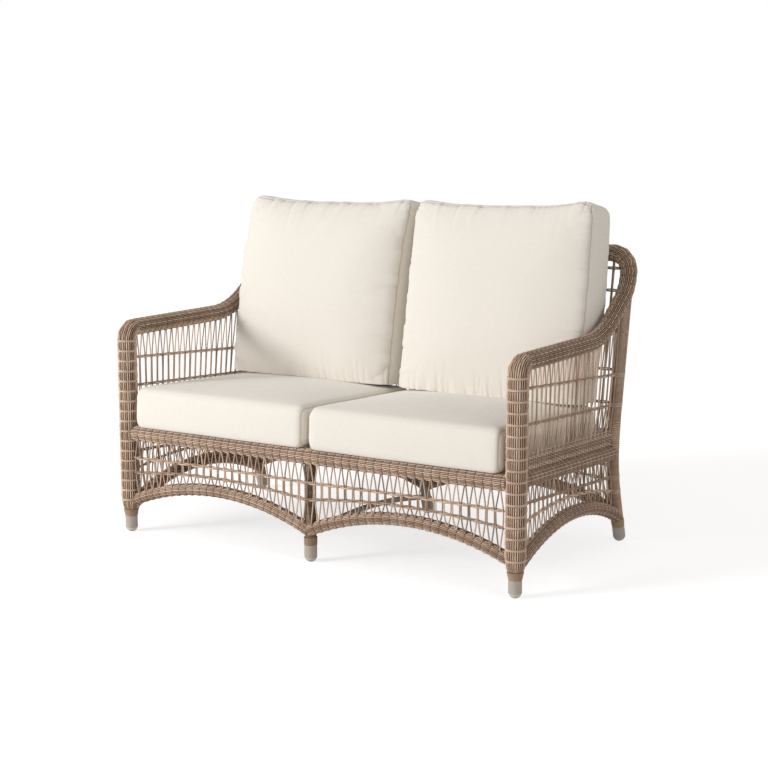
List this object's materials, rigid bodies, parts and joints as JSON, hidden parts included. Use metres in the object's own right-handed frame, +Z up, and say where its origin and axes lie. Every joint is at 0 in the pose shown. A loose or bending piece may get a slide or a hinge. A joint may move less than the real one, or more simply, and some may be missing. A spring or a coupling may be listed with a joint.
{
  "type": "patio loveseat",
  "caption": "Woven resin patio loveseat with curved arms, lattice panels over low arches and loose pale seat and back cushions.",
  "frame": {"origin": "on the floor under the middle of the whole object", "axes": "+Z up, +Y from the front to the back, +X along the seat to the right of someone facing the front"},
  "size_m": [1.432, 0.7969, 1.046],
  "materials": {
    "frame_aluminium": "satin powder coat",
    "resin_weave": "satin",
    "glide_plastic": "satin",
    "seat_webbing": "woven",
    "cushion_fabric": "woven",
    "cushion_filling": "foam",
    "zip_tape": "woven",
    "zip_slider": "satin"
  },
  "bodies": {
    "frame": {"left_arm_tube": "frame_aluminium", "right_arm_tube": "frame_aluminium", "top_rail_tube": "frame_aluminium", "rear_leg_tubes": "frame_aluminium", "seat_rail_tubes": "frame_aluminium", "front_center_leg_tube": "frame_aluminium", "rear_center_leg_tube": "frame_aluminium", "seat_bearer_tubes": "frame_aluminium", "arch_tubes": "frame_aluminium", "center_stretcher_tube": "frame_aluminium", "foot_sleeves": "frame_aluminium", "left_post_weave": "resin_weave", "right_post_weave": "resin_weave", "left_arm_weave": "resin_weave", "right_arm_weave": "resin_weave", "top_rail_weave": "resin_weave", "rear_leg_wraps": "resin_weave", "front_center_leg_wrap": "resin_weave", "front_rail_weave": "resin_weave", "rear_rail_weave": "resin_weave", "left_rail_weave": "resin_weave", "right_rail_weave": "resin_weave", "left_arch_weave": "resin_weave", "right_arch_weave": "resin_weave", "front_left_arch_weave": "resin_weave", "front_right_arch_weave": "resin_weave", "rear_left_arch_weave": "resin_weave", "rear_right_arch_weave": "resin_weave", "left_side_band": "resin_weave", "right_side_band": "resin_weave", "back_band": "resin_weave", "front_lattice": "resin_weave", "rear_lattice": "resin_weave", "left_lower_lattice": "resin_weave", "right_lower_lattice": "resin_weave", "left_arm_lattice": "resin_weave", "right_arm_lattice": "resin_weave", "back_lattice": "resin_weave", "leg_bindings": "resin_weave", "glides": "glide_plastic", "seat_straps": "seat_webbing"},
    "left_seat_cushion": {"left_seat_cover": "cushion_fabric", "left_seat_foam": "cushion_filling", "left_seat_zip": "zip_tape"},
    "left_seat_slider": {"left_seat_zip_slider": "zip_slider"},
    "left_back_cushion": {"left_back_cover": "cushion_fabric", "left_back_fill": "cushion_filling", "left_back_zip": "zip_tape"},
    "left_back_slider": {"left_back_zip_slider": "zip_slider"},
    "right_seat_cushion": {"right_seat_cover": "cushion_fabric", "right_seat_foam": "cushion_filling", "right_seat_zip": "zip_tape"},
    "right_seat_slider": {"right_seat_zip_slider": "zip_slider"},
    "right_back_cushion": {"right_back_cover": "cushion_fabric", "right_back_fill": "cushion_filling", "right_back_zip": "zip_tape"},
    "right_back_slider": {"right_back_zip_slider": "zip_slider"}
  },
  "joints": [
    {"name": "left_seat_lift", "type": "slide", "parent": "frame", "child": "left_seat_cushion", "axis": [0, 0, 1], "range_m": [0, 0.62]},
    {"name": "left_back_lift", "type": "slide", "parent": "left_seat_cushion", "child": "left_back_cushion", "axis": [0, 0, 1], "range_m": [0, 0.5]},
    {"name": "left_seat_zip_travel", "type": "slide", "parent": "left_seat_cushion", "child": "left_seat_slider", "axis": [-1, 0, 0], "range_m": [0, 0.388]},
    {"name": "left_back_zip_travel", "type": "slide", "parent": "left_back_cushion", "child": "left_back_slider", "axis": [-1, 0, 0], "range_m": [0, 0.388]},
    {"name": "right_seat_lift", "type": "slide", "parent": "frame", "child": "right_seat_cushion", "axis": [0, 0, 1], "range_m": [0, 0.62]},
    {"name": "right_back_lift", "type": "slide", "parent": "right_seat_cushion", "child": "right_back_cushion", "axis": [0, 0, 1], "range_m": [0, 0.5]},
    {"name": "right_seat_zip_travel", "type": "slide", "parent": "right_seat_cushion", "child": "right_seat_slider", "axis": [-1, 0, 0], "range_m": [0, 0.388]},
    {"name": "right_back_zip_travel", "type": "slide", "parent": "right_back_cushion", "child": "right_back_slider", "axis": [-1, 0, 0], "range_m": [0, 0.388]}
  ]
}
